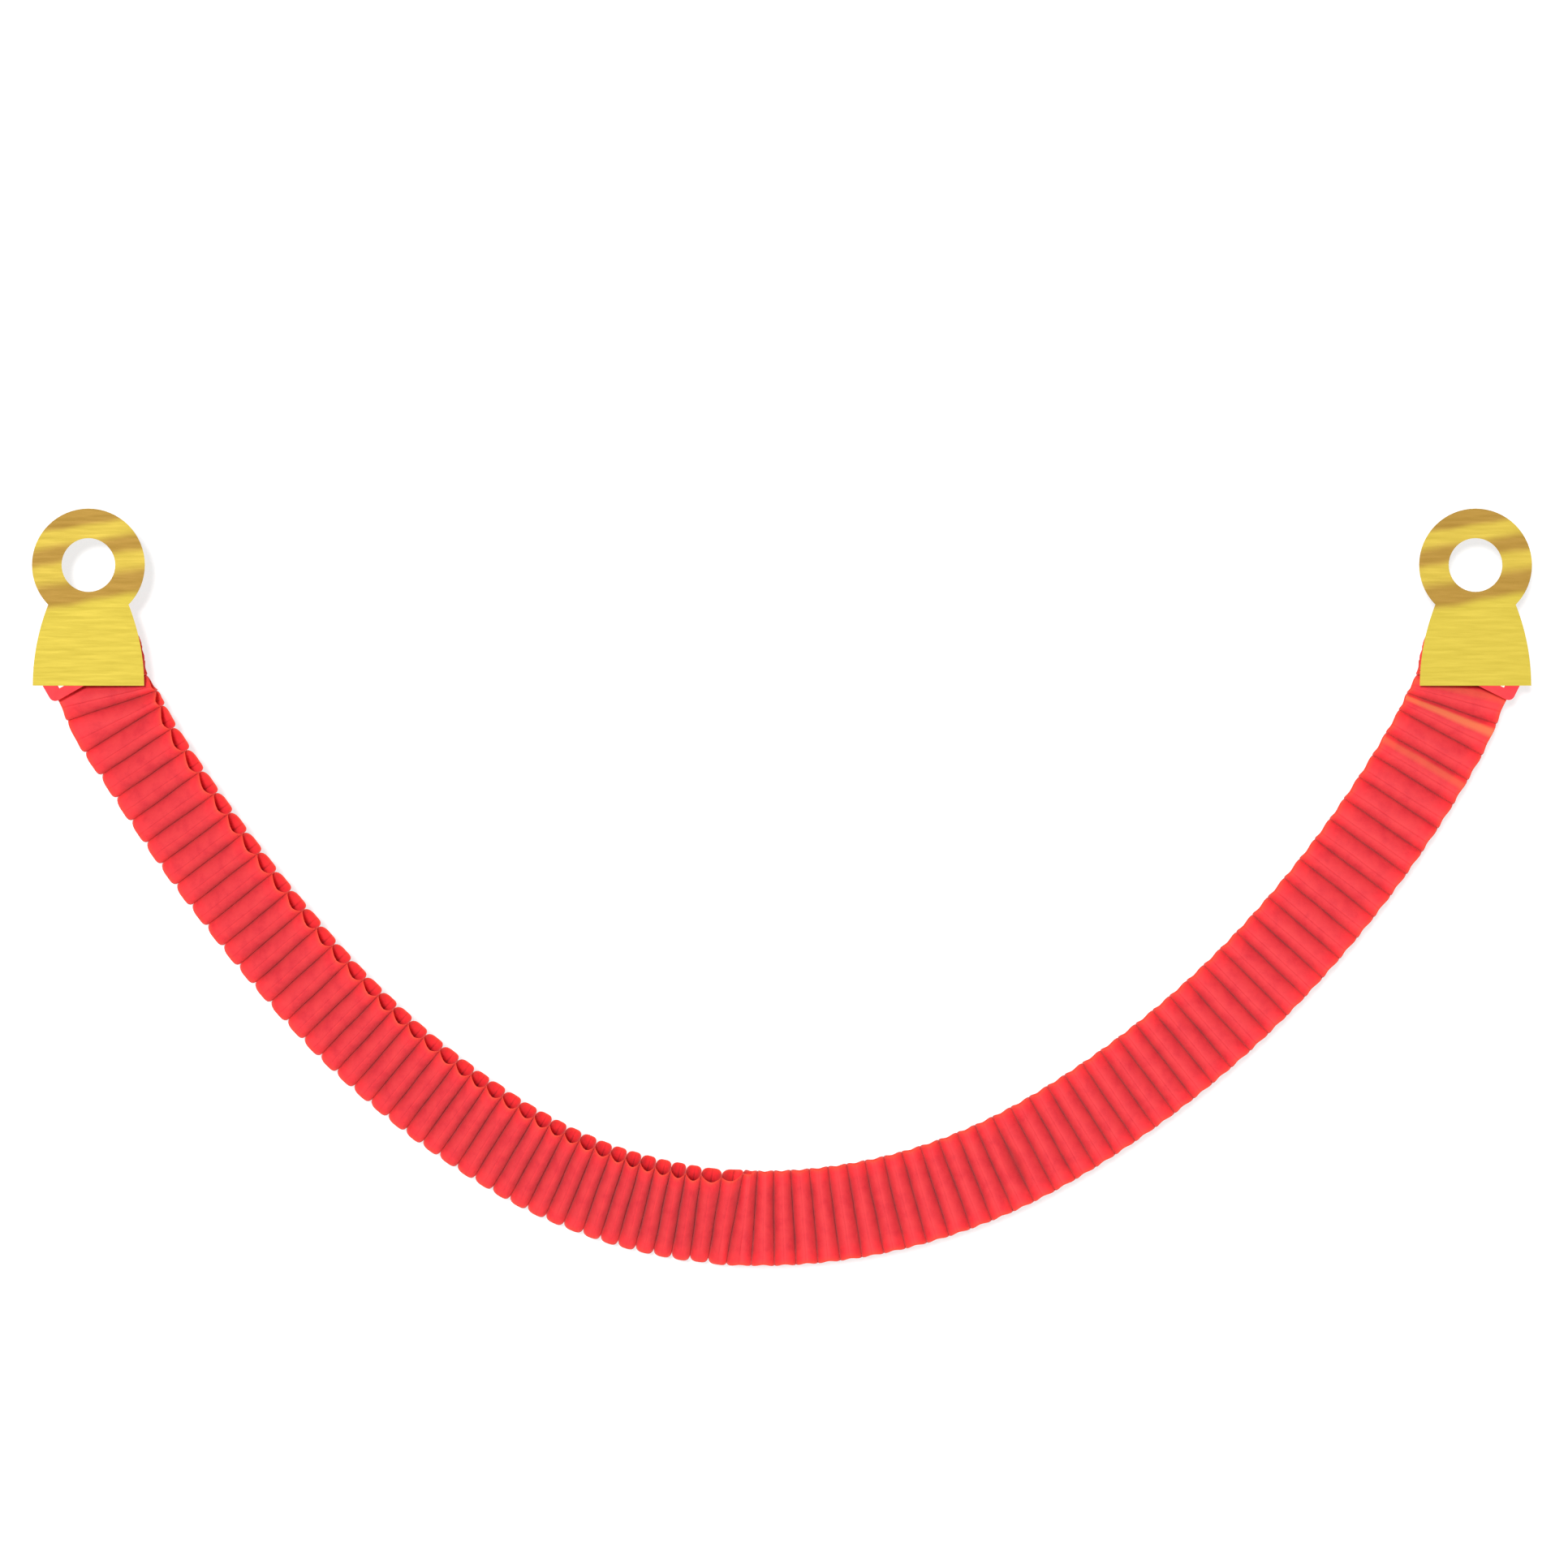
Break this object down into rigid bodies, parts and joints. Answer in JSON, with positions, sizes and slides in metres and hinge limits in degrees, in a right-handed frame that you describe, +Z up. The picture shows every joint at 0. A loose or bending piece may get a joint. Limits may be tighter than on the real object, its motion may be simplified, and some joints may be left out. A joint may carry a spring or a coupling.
{
  "type": "accordion paper garland",
  "caption": "Red tissue-paper accordion garland draped in a U between two gold foil card hanging tabs with round holes.",
  "frame": {"origin": "centre of the left tab's hanging hole, halfway through the card", "axes": "+X from the left hanging hole to the right one, +Z up, the front faces -Y"},
  "size_m": [1.846, 0.0926, 0.9345],
  "materials": {
    "gold_foil_card": "bright gold metallic foil on card, softly mirror-like, with a paler cut edge",
    "red_tissue": "matt translucent tissue paper, faint crepe grain",
    "glue": "dry paper glue"
  },
  "bodies": {
    "left_tab": {"left_tab": "gold_foil_card", "left_tab_glue": "glue", "left_end_leaf": "red_tissue", "left_fan": "red_tissue"},
    "section_01": {"glue_line_01": "red_tissue", "pleats_01": "red_tissue"},
    "section_02": {"glue_line_02": "red_tissue", "pleats_02": "red_tissue"},
    "section_03": {"glue_line_03": "red_tissue", "pleats_03": "red_tissue"},
    "section_04": {"glue_line_04": "red_tissue", "pleats_04": "red_tissue"},
    "section_05": {"glue_line_05": "red_tissue", "pleats_05": "red_tissue"},
    "section_06": {"glue_line_06": "red_tissue", "pleats_06": "red_tissue"},
    "section_07": {"glue_line_07": "red_tissue", "pleats_07": "red_tissue"},
    "section_08": {"glue_line_08": "red_tissue", "pleats_08": "red_tissue"},
    "section_09": {"glue_line_09": "red_tissue", "pleats_09": "red_tissue"},
    "section_10": {"glue_line_10": "red_tissue", "pleats_10": "red_tissue"},
    "section_11": {"glue_line_11": "red_tissue", "pleats_11": "red_tissue"},
    "section_12": {"glue_line_12": "red_tissue", "pleats_12": "red_tissue"},
    "section_13": {"glue_line_13": "red_tissue", "pleats_13": "red_tissue"},
    "section_14": {"glue_line_14": "red_tissue", "pleats_14": "red_tissue"},
    "section_15": {"glue_line_15": "red_tissue", "pleats_15": "red_tissue"},
    "section_16": {"glue_line_16": "red_tissue", "pleats_16": "red_tissue"},
    "section_17": {"glue_line_17": "red_tissue", "pleats_17": "red_tissue"},
    "section_18": {"glue_line_18": "red_tissue", "pleats_18": "red_tissue"},
    "section_19": {"glue_line_19": "red_tissue", "pleats_19": "red_tissue"},
    "section_20": {"glue_line_20": "red_tissue", "pleats_20": "red_tissue"},
    "section_21": {"glue_line_21": "red_tissue", "pleats_21": "red_tissue"},
    "section_22": {"glue_line_22": "red_tissue"},
    "right_tab": {"right_tab": "gold_foil_card", "right_tab_glue": "glue", "right_end_leaf": "red_tissue", "right_fan": "red_tissue"}
  },
  "joints": [
    {"name": "left_swing", "type": "hinge", "parent": "left_tab", "child": "section_01", "pos_m": [0.008, 0.0003, -0.1485], "axis": [1, 0, 0], "range_deg": [-25, 25], "deforming": ["left_fan"]},
    {"name": "flex_01", "type": "hinge", "parent": "section_01", "child": "section_02", "pos_m": [0.01649, 0.031, -0.15818], "axis": [0, 1, 0], "range_deg": [-12, 12], "deforming": ["pleats_01"]},
    {"name": "close_02", "type": "hinge", "parent": "section_02", "child": "section_03", "pos_m": [1.9035, 0.031, 0.93329], "axis": [0, 1, 0], "range_deg": [0, 3.87], "deforming": ["pleats_02"]},
    {"name": "close_03", "type": "hinge", "parent": "section_03", "child": "section_04", "pos_m": [1.9035, 0.031, 0.93329], "axis": [0, 1, 0], "range_deg": [0, 3.66], "deforming": ["pleats_03"]},
    {"name": "close_04", "type": "hinge", "parent": "section_04", "child": "section_05", "pos_m": [1.50488, 0.031, 0.61207], "axis": [0, 1, 0], "range_deg": [0, 4.53], "deforming": ["pleats_04"]},
    {"name": "flex_05", "type": "hinge", "parent": "section_05", "child": "section_06", "pos_m": [0.31202, 0.031, -0.55527], "axis": [0, 1, 0], "range_deg": [-1.86, 1.86], "deforming": ["pleats_05"]},
    {"name": "close_06", "type": "hinge", "parent": "section_06", "child": "section_07", "pos_m": [1.06597, 0.031, 0.1897], "axis": [0, 1, 0], "range_deg": [0, 6.46], "deforming": ["pleats_06"]},
    {"name": "close_07", "type": "hinge", "parent": "section_07", "child": "section_08", "pos_m": [1.06597, 0.031, 0.1897], "axis": [0, 1, 0], "range_deg": [0, 5.98], "deforming": ["pleats_07"]},
    {"name": "close_08", "type": "hinge", "parent": "section_08", "child": "section_09", "pos_m": [0.83217, 0.031, -0.203], "axis": [0, 1, 0], "range_deg": [0, 9.67], "deforming": ["pleats_08"]},
    {"name": "flex_09", "type": "hinge", "parent": "section_09", "child": "section_10", "pos_m": [0.63582, 0.031, -0.7733], "axis": [0, 1, 0], "range_deg": [-9.5, 9.5], "deforming": ["pleats_09"]},
    {"name": "close_10", "type": "hinge", "parent": "section_10", "child": "section_11", "pos_m": [0.82661, 0.031, -0.21827], "axis": [0, 1, 0], "range_deg": [0, 9.12], "deforming": ["pleats_10"]},
    {"name": "close_11", "type": "hinge", "parent": "section_11", "child": "section_12", "pos_m": [0.83174, 0.031, -0.18074], "axis": [0, 1, 0], "range_deg": [0, 9.97], "deforming": ["pleats_11"]},
    {"name": "close_12", "type": "hinge", "parent": "section_12", "child": "section_13", "pos_m": [0.8274, 0.031, -0.10528], "axis": [0, 1, 0], "range_deg": [0, 9.29], "deforming": ["pleats_12"]},
    {"name": "flex_13", "type": "hinge", "parent": "section_13", "child": "section_14", "pos_m": [1.00456, 0.031, -0.78237], "axis": [0, 1, 0], "range_deg": [-9.88, 9.88], "deforming": ["pleats_13"]},
    {"name": "close_14", "type": "hinge", "parent": "section_14", "child": "section_15", "pos_m": [0.8274, 0.031, -0.10528], "axis": [0, 1, 0], "range_deg": [0, 9.63], "deforming": ["pleats_14"]},
    {"name": "close_15", "type": "hinge", "parent": "section_15", "child": "section_16", "pos_m": [0.69034, 0.031, 0.17065], "axis": [0, 1, 0], "range_deg": [0, 7.02], "deforming": ["pleats_15"]},
    {"name": "close_16", "type": "hinge", "parent": "section_16", "child": "section_17", "pos_m": [0.57055, 0.031, 0.34686], "axis": [0, 1, 0], "range_deg": [0, 6.04], "deforming": ["pleats_16"]},
    {"name": "flex_17", "type": "hinge", "parent": "section_17", "child": "section_18", "pos_m": [1.38066, 0.031, -0.56522], "axis": [0, 1, 0], "range_deg": [-2.39, 2.39], "deforming": ["pleats_17"]},
    {"name": "close_18", "type": "hinge", "parent": "section_18", "child": "section_19", "pos_m": [0.53709, 0.031, 0.38363], "axis": [0, 1, 0], "range_deg": [0, 6.16], "deforming": ["pleats_18"]},
    {"name": "close_19", "type": "hinge", "parent": "section_19", "child": "section_20", "pos_m": [0.40809, 0.031, 0.49521], "axis": [0, 1, 0], "range_deg": [0, 5.72], "deforming": ["pleats_19"]},
    {"name": "close_20", "type": "hinge", "parent": "section_20", "child": "section_21", "pos_m": [0.40809, 0.031, 0.49521], "axis": [0, 1, 0], "range_deg": [0, 6.04], "deforming": ["pleats_20"]},
    {"name": "flex_21", "type": "hinge", "parent": "section_21", "child": "section_22", "pos_m": [1.68995, 0.031, -0.16064], "axis": [0, 1, 0], "range_deg": [-11.62, 11.62], "deforming": ["pleats_21"]},
    {"name": "right_swing", "type": "hinge", "parent": "section_22", "child": "right_tab", "pos_m": [1.697, 0.0003, -0.1485], "axis": [1, 0, 0], "range_deg": [-25, 25], "deforming": ["right_fan"]}
  ],
  "couplings": [
    {"joint": "close_03", "follows": "close_02", "ratio": 0.94574},
    {"joint": "close_04", "follows": "close_02", "ratio": 1.1708},
    {"joint": "flex_05", "follows": "flex_01", "ratio": -0.1549},
    {"joint": "close_06", "follows": "close_02", "ratio": 1.6685},
    {"joint": "close_07", "follows": "close_02", "ratio": 1.5435},
    {"joint": "close_08", "follows": "close_02", "ratio": 2.4981},
    {"joint": "flex_09", "follows": "flex_01", "ratio": -0.7914},
    {"joint": "close_10", "follows": "close_02", "ratio": 2.3556},
    {"joint": "close_11", "follows": "close_02", "ratio": 2.5757},
    {"joint": "close_12", "follows": "close_02", "ratio": 2.399},
    {"joint": "flex_13", "follows": "flex_01", "ratio": -0.823},
    {"joint": "close_14", "follows": "close_02", "ratio": 2.4881},
    {"joint": "close_15", "follows": "close_02", "ratio": 1.8121},
    {"joint": "close_16", "follows": "close_02", "ratio": 1.5599},
    {"joint": "flex_17", "follows": "flex_01", "ratio": -0.1993},
    {"joint": "close_18", "follows": "close_02", "ratio": 1.59},
    {"joint": "close_19", "follows": "close_02", "ratio": 1.476},
    {"joint": "close_20", "follows": "close_02", "ratio": 1.5607},
    {"joint": "flex_21", "follows": "flex_01", "ratio": 0.9686},
    {"joint": "right_swing", "follows": "left_swing", "ratio": -1}
  ]
}
